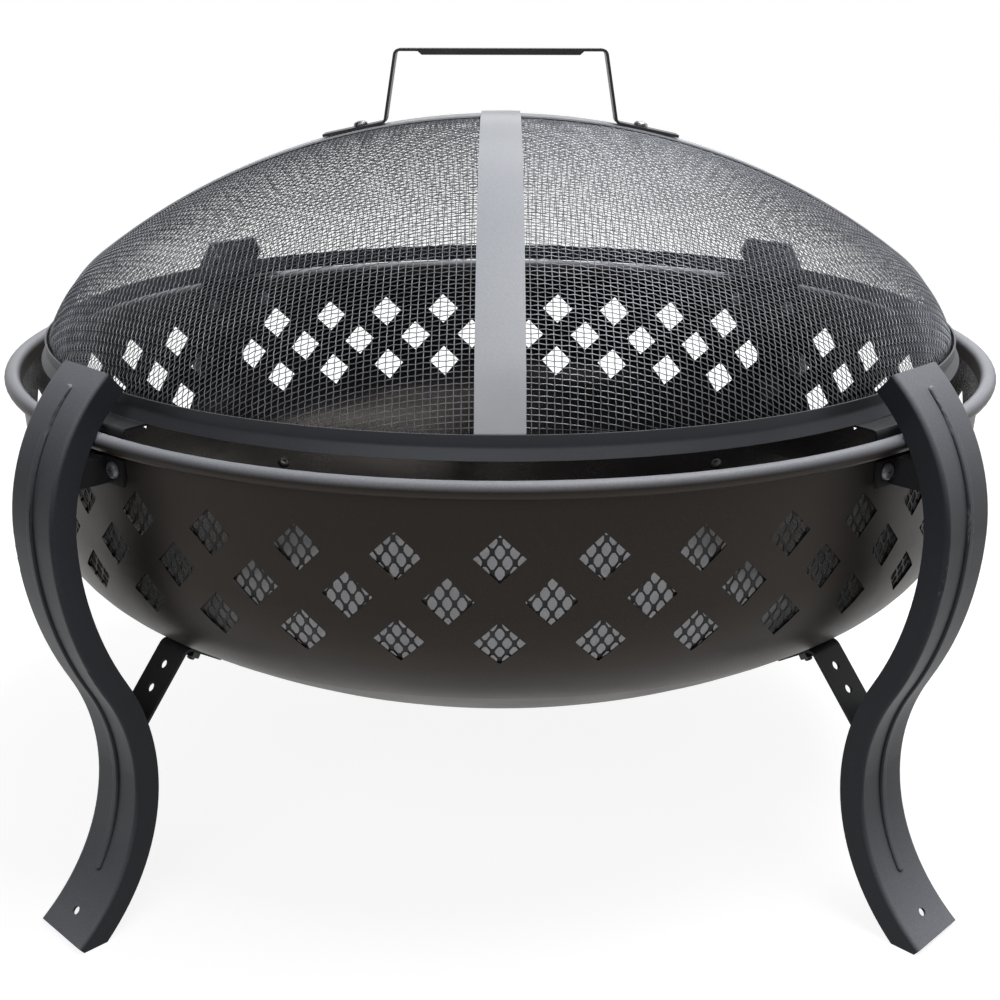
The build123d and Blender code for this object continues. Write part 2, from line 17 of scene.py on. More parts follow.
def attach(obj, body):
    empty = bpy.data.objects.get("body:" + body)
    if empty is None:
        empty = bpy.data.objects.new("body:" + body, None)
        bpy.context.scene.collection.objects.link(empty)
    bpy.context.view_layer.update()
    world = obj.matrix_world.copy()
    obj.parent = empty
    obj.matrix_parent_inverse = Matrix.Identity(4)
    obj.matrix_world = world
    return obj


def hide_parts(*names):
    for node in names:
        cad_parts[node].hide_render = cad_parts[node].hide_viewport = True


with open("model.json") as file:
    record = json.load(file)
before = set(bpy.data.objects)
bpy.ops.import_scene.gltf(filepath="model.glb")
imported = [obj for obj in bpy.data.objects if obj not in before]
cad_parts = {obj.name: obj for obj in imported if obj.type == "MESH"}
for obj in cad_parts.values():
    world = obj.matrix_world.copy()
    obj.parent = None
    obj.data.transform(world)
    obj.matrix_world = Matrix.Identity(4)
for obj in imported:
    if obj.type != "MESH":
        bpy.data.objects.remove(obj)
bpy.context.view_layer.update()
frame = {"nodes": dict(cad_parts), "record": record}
nodes = frame["nodes"]

# %% [markdown]
# ## The camera
#
# The photograph was taken from just over a metre away, a little above the screen.
# The rolled rim is a true circle, so the ellipse it makes in the picture gives the
# height, the distance and the lens.

# %% Camera
CAMERA_PLACE = (0.0, -1.134, 0.6046)
LOOKS_DOWN = 0.330
ROLL = 0.002
SENSOR, LENS = 36.0, 51.5
camera = bpy.data.objects.new("camera", bpy.data.cameras.new("camera"))
camera.data.sensor_width = SENSOR
camera.data.lens = LENS
camera.data.clip_start = 0.01
camera.matrix_world = (
    Matrix.Translation(CAMERA_PLACE)
    @ Matrix.Rotation(pi / 2 - LOOKS_DOWN, 4, "X")
    @ Matrix.Rotation(ROLL, 4, "Z")
)
bpy.context.collection.objects.link(camera)
bpy.context.scene.camera = camera
print("camera at", CAMERA_PLACE, "lens", camera.data.lens)

# %% [markdown]
# ## Writing a finish
#
# A finish is a small network of nodes. Joining nodes one by one makes long code, so
# a link is wrapped in a class that knows how to add and multiply, and every other
# node comes from one method.


# %% The finish writer
class Link:
    """The output of a node, which works in sums as a number does."""

    def __init__(self, finish, socket):
        self.finish = finish
        self.socket = socket

    def sum_with(self, operation, first, second):
        return self.finish.node("ShaderNodeMath", {"operation": operation}, {0: first, 1: second})

    def __add__(self, other):
        return self.sum_with("ADD", self, other)

    def __radd__(self, other):
        return self.sum_with("ADD", other, self)

    def __sub__(self, other):
        return self.sum_with("SUBTRACT", self, other)

    def __rsub__(self, other):
        return self.sum_with("SUBTRACT", other, self)

    def __mul__(self, other):
        return self.sum_with("MULTIPLY", self, other)

    def __rmul__(self, other):
        return self.sum_with("MULTIPLY", other, self)


class Finish:
    """A material, or the world, that is being written."""

    def __init__(self, owner):
        owner.use_nodes = True
        self.tree = owner.node_tree
        self.tree.nodes.clear()

    def node(self, kind, settings=None, sockets=None, output=0):
        """Adds a node: its settings first, then the values or links of its sockets."""
        made = self.tree.nodes.new(kind)
        for name, value in (settings or {}).items():
            if name == "stops":
                ramp = made.color_ramp.elements
                while len(ramp) < len(value):
                    ramp.new(0.5)
                for stop, (place, grey) in zip(ramp, value):
                    stop.position = place
                    stop.color = (grey, grey, grey, 1.0)
            else:
                setattr(made, name, value)
        for name, value in (sockets or {}).items():
            if isinstance(value, Link):
                self.tree.links.new(value.socket, made.inputs[name])
            else:
                made.inputs[name].default_value = value
        return Link(self, made.outputs[output]) if len(made.outputs) else made

    def places(self):
        """Where a point of the surface is on the object, in metres."""
        return self.node("ShaderNodeTexCoord", output=3)

    def noise(self, scale, detail=2.0, roughness=0.5):
        """Soft cloudy grey, with so many clouds to a metre."""
        sockets = {
            "Vector": self.places(),
            "Scale": scale,
            "Detail": detail,
            "Roughness": roughness,
        }
        return self.node("ShaderNodeTexNoise", {}, sockets)

    def spread(self, value, low, high):
        """Stretches the part of a grey between low and high over 0 to 1."""
        return self.node("ShaderNodeMapRange", {}, {0: value, 1: low, 2: high})

    def mix(self, share, first, second):
        """Mixes two colours."""
        return self.node("ShaderNodeMix", {"data_type": "RGBA"}, {0: share, 6: first, 7: second}, 2)


# %% [markdown]
# ## Powder coat
#
# All the sheet metal of the pit is sprayed with powder that is baked on. Close up
# the coat isn't flat: it has the fine ripple of an orange's skin, it is a touch
# thinner in some places than others, and dust dulls it here and there. So the
# colour wanders between two near tones, the gloss wanders too, and a bump of
# small noise gives the ripple.
#
# Two more layers lie on top. Faces that point up are paler: this is a painted sheen, which stands
# in for the sheen that they have in the picture. The inside of the bowl below the rim is made
# darker, with a paler patch on its floor, because pale shows through the diamonds. Both are guesses
# at what the picture shows, and the height and the way a face points say where they lie, so no
# piece needs a painted map.


# %% Powder coat
# A paler tone for a patch on the floor inside the bowl, where the patch is centred, and the
# distances over which it fades.
PALE_PATCH_TONE = (0.40, 0.405, 0.42, 1)
PALE_PATCH_MIDDLE = (0.0, 0.0, 0.10)
PALE_PATCH_FULL, PALE_PATCH_END = 0.20, 0.27
# A darker tone for the inside of the bowl below the rim and for low bolts, and how much of it the
# inside gets.
DARKER_TONE = (0.004, 0.004, 0.0045, 1)
DARKER_INSIDE_SHARE = 0.85
# The tone of the painted sheen, paler than the coat, on faces that point up.
PAINTED_SHEEN_TONE = (0.40, 0.415, 0.455, 1)
DUST_GREY = 0.30
DEEPER = 0.82
WARM, COOL = (1.0, 0.88, 0.80), (0.90, 0.95, 1.0)
PLAIN = (1.0, 1.0, 1.0)


def powder_coat(
    name, tone, gloss=0.42, dust=0.10, shine=0.5, tint=PLAIN, painted_sheen=0.0, above=-1.0, pale_patch=0.0
):
    """A satin coat of a tone, with dust in it.

    painted_sheen is how much paler it is where it points up, over the height above: a painted
    sheen. pale_patch is how much of the paler patch on the floor of the bowl shows, and when it is
    given the inside below that height is made darker.
    """
    material = bpy.data.materials.new(name)
    coat = Finish(material)
    pale = [channel + dust * (DUST_GREY - channel) for channel in tone]
    deep = [channel * DEEPER for channel in tone]
    clouds = coat.spread(coat.noise(9.0, 4.0, 0.6), 0.35, 0.65)
    grain = coat.spread(coat.noise(900.0, 2.0), 0.3, 0.7)
    wander = coat.mix(clouds, (*deep, 1), (*tone, 1))
    specks = coat.spread(coat.noise(260.0, 3.0, 0.7), 0.60, 0.80) * clouds
    colour = coat.mix(0.35 * grain * clouds + 0.5 * specks, wander, (*pale, 1))
    facing = coat.node("ShaderNodeNewGeometry", output=1)
    upwards = coat.node("ShaderNodeSeparateXYZ", {}, {0: facing}, 2)
    height = coat.node("ShaderNodeSeparateXYZ", {}, {0: coat.places()}, 2)
    # Painted sheen: the coat is made paler where a face points up, above a given height.
    painted_sheen_mask = coat.spread(upwards, 0.05, 0.9) * coat.spread(height, above, above + 0.002)
    colour = coat.mix(painted_sheen * painted_sheen_mask * (0.8 + 0.2 * grain), colour, PAINTED_SHEEN_TONE)
    rough = gloss - 0.04 + 0.08 * clouds + 0.05 * grain
    # Inside the bowl below the rim the colour is made darker, and paler again in a patch round the
    # middle of its floor.
    if pale_patch:
        ends = {0: coat.places(), 1: PALE_PATCH_MIDDLE}
        away = coat.node("ShaderNodeVectorMath", {"operation": "DISTANCE"}, ends, 1)
        under_rim = 1 - coat.spread(height, above - 0.002, above)
        inside = coat.spread(upwards, 0.0, 0.02) * under_rim
        colour = coat.mix(DARKER_INSIDE_SHARE * inside, colour, DARKER_TONE)
        pale_patch_mask = inside * (1 - coat.spread(away + 0.03 * clouds, PALE_PATCH_FULL, PALE_PATCH_END))
        colour = coat.mix(pale_patch * pale_patch_mask * (0.8 + 0.2 * grain), colour, PALE_PATCH_TONE)
        rough = rough - 0.17 * inside + 0.4 * pale_patch_mask
    skin = coat.noise(520.0, 3.0, 0.55)
    bump = coat.node(
        "ShaderNodeBump", {}, {"Strength": 0.12, "Distance": 0.0006, "Height": skin}
    )
    shader = coat.node(
        "ShaderNodeBsdfPrincipled",
        {},
        {
            "Base Color": colour,
            "Roughness": rough,
            "Normal": bump,
            "Specular IOR Level": shine,
            "Specular Tint": (*tint, 1),
        },
    )
    coat.node("ShaderNodeOutputMaterial", {}, {"Surface": shader})
    return material


coats = {
    "bowl_coat": powder_coat(
        "bowl_coat",
        (0.023, 0.018, 0.015),
        gloss=0.40,
        shine=0.27,
        tint=WARM,
        painted_sheen=1.0,
        above=0.343,
        pale_patch=0.9,
    ),
    "leg_coat": powder_coat(
        "leg_coat", (0.033, 0.035, 0.042), gloss=0.40, shine=0.20, tint=COOL, painted_sheen=0.9
    ),
    "bracket_coat": powder_coat(
        "bracket_coat", (0.020, 0.020, 0.023), dust=0.05, shine=0.22, painted_sheen=0.12
    ),
    "screen_coat": powder_coat(
        "screen_coat", (0.050, 0.052, 0.060), shine=0.42, tint=COOL, painted_sheen=0.2
    ),
    "strap_coat": powder_coat(
        "strap_coat", (0.78, 0.80, 0.84), gloss=0.36, shine=0.3, painted_sheen=1.0
    ),
    "handle_coat": powder_coat("handle_coat", (0.045, 0.045, 0.048), gloss=0.40),
}
for subpart in frame["record"]["subparts"]:
    material = coats.get(subpart["material_slot"])
    if material:
        data = nodes[subpart["node"]].data
        data.materials.clear()
        data.materials.append(material)
print("coats:", sorted(coats))

# %% [markdown]
# ## Wire and bare metal
#
# The wire of the screen is painted steel with a dull shine, and the bolts are zinc plated. Zinc is
# a metal all through, so its colour comes from what it reflects, and its blotches and ripple from
# two sizes of noise. The bolts of the stand turn darker and less metallic low down, and this fades
# out with height.


# %% Wire, liner and zinc
# Heights over which low bolts go from the darker tone back to their own.
DARKER_FULL, DARKER_END = 0.30, 0.40


def dull_metal(name, tone, stain, metal, gloss, scale, ripple, darker_low=0.0):
    """Painted or plated steel with blotches of a second tone, made darker and less metallic on what
    is low.
    """
    material = bpy.data.materials.new(name)
    steel = Finish(material)
    blotch = steel.spread(steel.noise(scale, 4.0, 0.65), 0.40, 0.62)
    grain = steel.noise(scale * 12, 2.0)
    colour = steel.mix(blotch, (*tone, 1), (*stain, 1))
    # Darker and less metallic low down, fading out with height.
    if darker_low:
        height = steel.node("ShaderNodeSeparateXYZ", {}, {0: steel.places()}, 2)
        low_darkening = darker_low * (1 - steel.spread(height, DARKER_FULL, DARKER_END))
        colour = steel.mix(low_darkening, colour, DARKER_TONE)
        metal = metal * (1 - low_darkening)
    bump = steel.node(
        "ShaderNodeBump", {}, {"Strength": ripple, "Distance": 0.0003, "Height": grain}
    )
    shader = steel.node(
        "ShaderNodeBsdfPrincipled",
        {},
        {
            "Base Color": colour,
            "Metallic": metal,
            "Roughness": gloss + 0.12 * blotch,
            "Normal": bump,
        },
    )
    steel.node("ShaderNodeOutputMaterial", {}, {"Surface": shader})
    return material


wire_finish = dull_metal(
    "wire_coat", (0.34, 0.355, 0.39), (0.24, 0.25, 0.275), 0.7, gloss=0.32, scale=60.0, ripple=0.1
)
liner_finish = dull_metal(
    "liner_metal",
    (0.020, 0.019, 0.019),
    (0.012, 0.012, 0.012),
    0.2,
    gloss=0.55,
    scale=90.0,
    ripple=0.2,
)
zinc_finish = dull_metal(
    "fastener_zinc",
    (0.50, 0.51, 0.54),
    (0.36, 0.37, 0.40),
    1.0,
    gloss=0.30,
    scale=300.0,
    ripple=0.1,
    darker_low=0.9,
)

# %% [markdown]
# ## Keeping a piece
#
# A new piece is a mesh whose place is in its points. It rides on the body that
# carries it and stands for the solid that it takes the place of.


# %% Keeping a piece
def keep(data, name, body, slot, material, *stands_for):
    """Makes an object of a mesh or a curve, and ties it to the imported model."""
    piece = bpy.data.objects.new(name, data)
    bpy.context.collection.objects.link(piece)
    data.materials.append(material)
    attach(piece, body)
    if stands_for:
        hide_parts(*stands_for)
    return piece


def close_mesh(work, name):
    """Turns the faces of a bmesh outwards and makes it a mesh."""
    bmesh.ops.remove_doubles(work, verts=work.verts, dist=1e-6)
    bmesh.ops.recalc_face_normals(work, faces=work.faces)
    data = bpy.data.meshes.new(name)
    work.to_mesh(data)
    work.free()
    return data


# %% [markdown]
# ## A dished sheet
#
# The bowl and the screen are both pressed dishes: a wide crown round the axis and
# a tighter knuckle at the edge. Where the two arcs meet they share a tangent, so
# five sizes are enough to find both centres.


# %% A dished sheet
def dish(radius, level, knuckle, pole, lean):
    """Centres of the knuckle and the crown, the crown's radius, and where they meet."""
    side = 1 if pole > level else -1
    knuckle_r = radius - knuckle * cos(lean)
    knuckle_z = level - side * knuckle * sin(lean)
    rise = side * (pole - knuckle_z)
    crown = (knuckle_r**2 + rise**2 - knuckle**2) / (2 * (rise - knuckle))
    meet = asin(knuckle_r / (crown - knuckle))
    return knuckle_r, knuckle_z, crown, pole - side * crown, meet


# %% [markdown]
# ## The shape of the screen
#
# A wire keeps its spacing along the cloth, not along the floor, so from above the
# wires look closer together where the cloth is steep. One function turns a
# distance along the cloth into a radius, and another finds the point of the dome
# over a place on the floor, at a depth under its outside.

# %% The shape of the screen
DOME_FOOT = 0.3472
DOME_FOOT_LEVEL = 0.375
DOME_TOP = 0.528
DOME_LEAN = radians(20)
KNUCKLE = 0.108
knuckle_r, knuckle_z, CROWN, crown_z, seam = dish(
    DOME_FOOT, DOME_FOOT_LEVEL, KNUCKLE, DOME_TOP, DOME_LEAN
)
cloth_reach = CROWN * seam + KNUCKLE * (pi / 2 - seam - DOME_LEAN)


def cloth_radius(along):
    """Distance from the axis of a point so far along the cloth from its top."""
    if along < CROWN * seam:
        return CROWN * sin(along / CROWN)
    if along > cloth_reach:
        return DOME_FOOT + (along - cloth_reach) * sin(DOME_LEAN)
    return knuckle_r + KNUCKLE * sin(seam + (along - CROWN * seam) / KNUCKLE)


def dome_tilt(reach):
    """How far the cloth leans from level, at a distance from the axis."""
    if reach < CROWN * sin(seam):
        return asin(reach / CROWN)
    return min(pi / 2 - DOME_LEAN, asin(min(1.0, (reach - knuckle_r) / KNUCKLE)))


def on_dome(x, y, depth):
    """The point of the dome over (x, y), moved in by a depth."""
    reach = hypot(x, y)
    tilt = dome_tilt(reach)
    if reach < CROWN * sin(seam):
        height = crown_z + CROWN * cos(tilt)
    else:
        height = knuckle_z + KNUCKLE * cos(tilt)
    inwards = depth * sin(tilt) / reach if reach else 0.0
    return Vector((x - x * inwards, y - y * inwards, height - depth * cos(tilt)))


print("crown", round(CROWN, 4), "seam", round(degrees(seam), 2), "cloth", round(cloth_reach, 4))

# %% [markdown]
# ## Where the wires cross
#
# The cloth is pressed into the dome in a way that shows in the picture. The wires
# that run to the back stay upright over straight lines on the floor, and those
# that run across are bent by the pressing: on every wire to the back the
# crossings keep their spacing along the wire. Towards the band the spacing gets
# tighter by 16 percent.

# %% Where the wires cross
PITCH = 0.0045
TIGHTER = 0.16
FULLY_TIGHT = 0.25
EDGE_ROOM = 0.0012
STEPS = 3

gaps = []
columns = [0.0]
along = 0.0
while columns[-1] < DOME_FOOT + EDGE_ROOM:
    gaps.append(PITCH * (1 - TIGHTER * min(1.0, along / FULLY_TIGHT) ** 2))
    along += gaps[-1]
    columns.append(cloth_radius(along))


def crossings(x):
    """Places along y of the crossings on the wire to the back over x, from its middle."""
    y = 0.0
    places = [y]
    for gap in gaps:
        for _ in range(STEPS):
            reach = hypot(x, y)
            steep = tan(dome_tilt(reach)) * y / reach if reach else 0.0
            y += gap / STEPS / hypot(1, steep)
        places.append(y)
    return places


crossing_rows = [crossings(x) for x in columns]
pairs = zip(columns, crossing_rows[0])
wires_a_side = sum(max(pair) < DOME_FOOT - EDGE_ROOM for pair in pairs) - 1
print("wires to a side", wires_a_side, "last gap", round(gaps[-1], 5))

# %% [markdown]
# ## Woven wire
#
# Two sets of wires cross in a plain weave: each goes over one and under the next.
# A wire is a curve with a round section, and its points lie one at each crossing,
# in turn high and low. A curve is used because it carries its own thickness, and
# four sides are enough for a wire under a millimetre thick.

# %% Woven wire
WIRE = 0.00062
CLOTH = 0.0016
SKIRT = 0.010
last = len(columns) - 1


def crossing(column, row):
    """Where two wires cross, seen from above, counted from the middle of the cloth."""
    x, y = columns[abs(column)], crossing_rows[abs(column)][abs(row)]
    return Vector((-x if column < 0 else x, -y if row < 0 else y))


def wire_points(number, to_back):
    """The points of one wire, from the band on one side to the band on the other."""
    steps = range(-last, last + 1)
    spots = [crossing(number, step) if to_back else crossing(step, number) for step in steps]
    reach = DOME_FOOT - EDGE_ROOM
    inside = [index for index, spot in enumerate(spots) if spot.length < reach]
    first, final = inside[0], inside[-1]
    points = []
    for index in range(first - 1, final + 2):
        spot = spots[index]
        over = (index + last + number + to_back) % 2
        if index in (first - 1, final + 1):
            near = spots[first if index < first else final]
            share = (DOME_FOOT - near.length) / (spot.length - near.length)
            spot = near.lerp(spot, share).normalized() * DOME_FOOT
            over = 0.5
        points.append(on_dome(spot.x, spot.y, CLOTH / 2 + (0.5 - over) * (CLOTH - WIRE)))
    down = Vector((0, 0, -SKIRT))
    return [points[0] + down, *points, points[-1] + down]


def weave(name, numbers, to_back):
    """One set of wires as a curve."""
    data = bpy.data.curves.new(name, "CURVE")
    data.dimensions = "3D"
    data.bevel_depth = WIRE / 2
    data.bevel_resolution = 0
    data.use_fill_caps = True
    for number in numbers:
        points = wire_points(number, to_back)
        wire = data.splines.new("POLY")
        wire.points.add(len(points) - 1)
        for spot, point in zip(wire.points, points):
            spot.co = (*point, 1.0)
    return data


negative, positive = range(-wires_a_side, 0), range(wires_a_side + 1)
for wires, numbers, to_back in (
    ("wires_to_back_left", negative, 1),
    ("wires_to_back_right", positive, 1),
    ("wires_across_front", negative, 0),
    ("wires_across_back", positive, 0),
):
    data = weave(wires, numbers, to_back)
    keep(data, wires, "screen", "wire_coat", wire_finish, "screen_mesh")
    print(wires, len(data.splines), "points", sum(len(wire.points) for wire in data.splines))

# %% [markdown]
# ## The wall of the bowl
#
# The liner lies inside the wall and follows it, so its points are given as an
# angle round the bowl and a distance down the wall.

# %% The wall of the bowl
RIM_RADIUS = 0.375
RIM_HEIGHT = 0.350
ROLL_RADIUS = 0.0056
SHEET = 0.0012
DRAFT = radians(3)
WALL_DROP = 0.084
BOWL_KNUCKLE = 0.090
BOWL_DEPTH = 0.258
LINER_TOP = 0.0268


def wall_radius(drop, inside=0.0):
    """Radius of the wall at a depth below the rim, so far inside its outer face."""
    return RIM_RADIUS - drop * tan(DRAFT) - (ROLL_RADIUS - SHEET + inside) / cos(DRAFT)


turn_level, pole_level = RIM_HEIGHT - WALL_DROP, RIM_HEIGHT - BOWL_DEPTH
bowl_r, bowl_z, bowl_crown, bowl_crown_z, _ = dish(
    wall_radius(WALL_DROP), turn_level, BOWL_KNUCKLE, pole_level, DRAFT
)


def on_wall(around, down, inside):
    """A point so far down the wall from the top of the liner, at an angle round the bowl."""
    straight = (WALL_DROP - LINER_TOP) / cos(DRAFT)
    if down < straight:
        drop = LINER_TOP + down * cos(DRAFT)
        reach, height = wall_radius(drop, inside), RIM_HEIGHT - drop
    else:
        turn = DRAFT + (down - straight) / BOWL_KNUCKLE
        reach = bowl_r + (BOWL_KNUCKLE - inside) * cos(turn)
        height = bowl_z - (BOWL_KNUCKLE - inside) * sin(turn)
    return Vector((reach * cos(around), reach * sin(around), height))


print("wall at the liner", round(wall_radius(LINER_TOP), 4), "crown", round(bowl_crown, 4))

# %% [markdown]
# ## Expanded metal behind the diamonds
#
# Behind the cut-outs of the front lies a sheet of expanded metal, which holds the
# embers back. It is cut and stretched into tall diamonds. A grid whose faces are
# poked gives diagonals, and when the grid's own edges are dissolved the diamonds
# are left. Each is inset, the corners of its middle are bevelled as the real
# openings are rounded, and the middle is taken out. The flat net is then bent
# round the wall and given its thickness.

# %% Expanded metal
LINER_SPAN = radians(156)
LINER_DEEP = 0.0935
LINER_INSIDE = 0.0020
LINER_SHEET = 0.0008
CELL_WIDE = 0.0088
CELL_TALL = 0.0130
STRAND = 0.0012
CORNER = 0.0015
LINER_MIDDLE = 0.06

liner_wide = LINER_SPAN * wall_radius(LINER_MIDDLE, LINER_INSIDE)
cells_round, cells_down = round(liner_wide / CELL_WIDE), round(LINER_DEEP / CELL_TALL)
net = bmesh.new()
bmesh.ops.create_grid(net, x_segments=cells_round, y_segments=cells_down, size=0.5)
bmesh.ops.scale(net, vec=(liner_wide, LINER_DEEP, 1), verts=net.verts)
grid_edges = [edge for edge in net.edges if len(edge.link_faces) == 2]
bmesh.ops.poke(net, faces=net.faces)
bmesh.ops.dissolve_edges(net, edges=grid_edges, use_verts=False)
cells = list(net.faces)
bmesh.ops.inset_individual(net, faces=cells, thickness=STRAND / 2, use_even_offset=True)
for cell in cells:
    cell.material_index = 1
corners = list({spot for cell in cells for spot in cell.verts})
bmesh.ops.bevel(
    net,
    geom=corners,
    offset=CORNER,
    offset_type="OFFSET",
    segments=1,
    profile=0.5,
    affect="VERTICES",
    material=-1,
)
openings = [face for face in net.faces if face.material_index == 1 and len(face.verts) > 4]
bmesh.ops.delete(net, geom=openings, context="FACES")
for face in net.faces:
    face.material_index = 0
for spot in net.verts:
    around = -pi / 2 + spot.co.x / liner_wide * LINER_SPAN
    spot.co = on_wall(around, LINER_DEEP / 2 - spot.co.y, LINER_INSIDE)
net_mesh = close_mesh(net, "liner_net")
liner = keep(net_mesh, "liner_net", "stand", "liner_metal", liner_finish, "cutout_liner")
thickness = liner.modifiers.new("thickness", "SOLIDIFY")
thickness.thickness = LINER_SHEET
thickness.offset = 0.0
print("liner openings", len(openings), "faces", len(liner.data.polygons))

# %% [markdown]
# ## Fasteners
#
# A pan head bolt is a round shape, so its profile is spun about its axis. The
# cross in its head is cut with a boolean, one arm after the other, because a
# cutter that runs through itself can leave nothing. The chamfers and the bore of a
# nut are cut too, because a nut is where a hexagon and a round lens overlap.


# %% Round shapes and cuts
def spun(name, profile, turns=24, ring=False):
    """Spins (radius, height) points about z. A ring's profile closes on itself."""
    work = bmesh.new()
    points = [work.verts.new((radius, 0, height)) for radius, height in profile]
    pairs = list(zip(points, points[1:])) + ([(points[-1], points[0])] if ring else [])
    edges = [work.edges.new(pair) for pair in pairs]
    bmesh.ops.spin(
        work,
        geom=points + edges,
        axis=(0, 0, 1),
        cent=(0, 0, 0),
        angle=2 * pi,
        steps=turns,
        use_merge=True,
    )
    return close_mesh(work, name)


def cut(data, tool, operation):
    """What is left of a mesh after a boolean with another."""
    body, blade = bpy.data.objects.new("body", data), bpy.data.objects.new("blade", tool)
    for made in (body, blade):
        bpy.context.collection.objects.link(made)
    step = body.modifiers.new("cut", "BOOLEAN")
    step.object, step.operation, step.solver = blade, operation, "EXACT"
    finished = body.evaluated_get(bpy.context.evaluated_depsgraph_get())
    result = bpy.data.meshes.new_from_object(finished)
    for made in (body, blade):
        bpy.data.objects.remove(made)
    return result


# %% Bolt, nut and washer
BOLT = 0.003
HEAD = 0.0056
HEAD_HEIGHT = 0.0034
NUT_HEIGHT = 0.005
NUT_FLATS = 0.010
BOLT_END = 0.002
THREAD = 0.001
BORE_GAP = 0.0001
CHAMFER = 0.0005
CHAMFER_IN = 0.0002


def make_bolt(grip):
    """A pan head bolt with its seat at z = 0, a cross in its head and ridges for its thread."""
    end = grip + NUT_HEIGHT + BOLT_END
    ridges = []
    for turn in range(int((NUT_HEIGHT + BOLT_END) / THREAD)):
        low = end - 0.0006 - turn * THREAD
        ridges += [(BOLT * 0.87, -low), (BOLT, -(low - THREAD / 2))]
    profile = [
        (0, HEAD_HEIGHT),
        (HEAD * 0.45, HEAD_HEIGHT * 0.98),
        (HEAD * 0.72, HEAD_HEIGHT * 0.86),
        (HEAD * 0.90, HEAD_HEIGHT * 0.62),
        (HEAD * 0.98, HEAD_HEIGHT * 0.30),
        (HEAD * 0.98, HEAD_HEIGHT * 0.06),
        (HEAD * 0.94, 0),
        (BOLT, 0),
        *reversed(ridges),
        (BOLT * 0.7, -end),
        (0, -end),
    ]
    bolt = spun("bolt", profile)
    for quarter in (0, pi / 2):
        arm = bmesh.new()
        bmesh.ops.create_cube(arm, size=1.0)
        bmesh.ops.scale(arm, vec=(HEAD * 0.95, HEAD * 0.20, HEAD_HEIGHT), verts=arm.verts)
        turned = Matrix.Rotation(quarter, 3, "Z")
        bmesh.ops.rotate(arm, cent=(0, 0, 0), matrix=turned, verts=arm.verts)
        bmesh.ops.translate(arm, vec=(0, 0, HEAD_HEIGHT * 0.95), verts=arm.verts)
        bolt = cut(bolt, close_mesh(arm, "arm"), "DIFFERENCE")
    print("bolt points", len(bolt.vertices))
    return bolt


def make_nut():
    """A hexagon nut that stands on z = 0."""
    corner = NUT_FLATS / 2 / cos(pi / 6)
    hexagon = bmesh.new()
    bmesh.ops.create_cone(
        hexagon, cap_ends=True, segments=6, radius1=corner, radius2=corner, depth=NUT_HEIGHT
    )
    turned = Matrix.Rotation(pi / 6, 3, "Z")
    bmesh.ops.rotate(hexagon, cent=(0, 0, 0), matrix=turned, verts=hexagon.verts)
    bmesh.ops.translate(hexagon, vec=(0, 0, NUT_HEIGHT / 2), verts=hexagon.verts)
    lens = [
        (0, 0),
        (NUT_FLATS / 2 - CHAMFER_IN, 0),
        (corner, CHAMFER),
        (corner, NUT_HEIGHT - CHAMFER),
        (NUT_FLATS / 2 - CHAMFER_IN, NUT_HEIGHT),
        (0, NUT_HEIGHT),
    ]
    bore_r, low, high = BOLT + BORE_GAP, -0.001, NUT_HEIGHT + 0.001
    bore = [(0, low), (bore_r, low), (bore_r, high), (0, high)]
    rounded = cut(close_mesh(hexagon, "nut"), spun("lens", lens, 36), "INTERSECT")
    return cut(rounded, spun("bore", bore), "DIFFERENCE")


washer_profile = [
    (0.0034, 0.0001),
    (0.0034, 0.0009),
    (0.0036, 0.001),
    (0.0063, 0.001),
    (0.0065, 0.0008),
    (0.0065, 0.0002),
    (0.0063, 0),
    (0.0036, 0),
]
washer = spun("washer", washer_profile, 32, ring=True)
nut = make_nut()
print("nut faces", len(nut.polygons), "washer faces", len(washer.polygons))

# %% [markdown]
# ## Setting the fasteners
#
# Each bolt stands square to the sheet that it holds. A place is written as a
# point, the way out of the head's seat and a direction across, and the same mesh
# is copied to every place of its kind.


# %% Setting the fasteners
def stand(point, out, along):
    """The matrix that stands a shape at a point, with z along out."""
    out, along = Vector(out).normalized(), Vector(along).normalized()
    turn = Matrix((along, out.cross(along), out)).transposed().to_4x4()
    return Matrix.Translation(point) @ turn


def behind(place, depth):
    """The same place, so far behind its seat and facing the other way."""
    return place @ Matrix.Translation((0, 0, -depth)) @ Matrix.Rotation(pi, 4, "X")


def set_out(data, places, name, body):
    """Copies a shape to each place, as one piece that stands for the node of its kind."""
    work = bmesh.new()
    for place in places:
        copy = data.copy()
        copy.transform(place)
        work.from_mesh(copy)
    set_mesh = close_mesh(work, name)
    keep(set_mesh, f"{name}_shaped", body, "fastener_zinc", zinc_finish, name)


SEAT = 0.0003
LAP = 0.0002
LEG_ANGLES = (-45, 45, 135, 225)

# %% Beside the legs
STIRRUP_TOP_DROP = 0.010
STIRRUP_SHEET = 0.002
REST_SHEET = 0.0015
LEG_BOLT_DROP = 0.017
LEG_BOLT_PLACE = 0.031
leg_turn = asin(LEG_BOLT_PLACE / RIM_RADIUS)
leg_seat_r = wall_radius(STIRRUP_TOP_DROP) + SEAT + STIRRUP_SHEET + LAP
leg_grip = leg_seat_r - (wall_radius(LEG_BOLT_DROP, SHEET + SEAT + REST_SHEET) - SEAT)
leg_places = []
for angle in LEG_ANGLES:
    for turn in (-leg_turn, leg_turn):
        way = radians(angle) + turn
        out = Vector((cos(way), sin(way), 0))
        point = leg_seat_r * out + Vector((0, 0, RIM_HEIGHT - LEG_BOLT_DROP))
        leg_places.append(stand(point, out, (-sin(way), cos(way), 0)))
set_out(make_bolt(leg_grip), leg_places, "leg_bolts", "stand")
set_out(nut, [behind(place, leg_grip) for place in leg_places], "leg_nuts", "stand")
print("bolts beside the legs", len(leg_places))

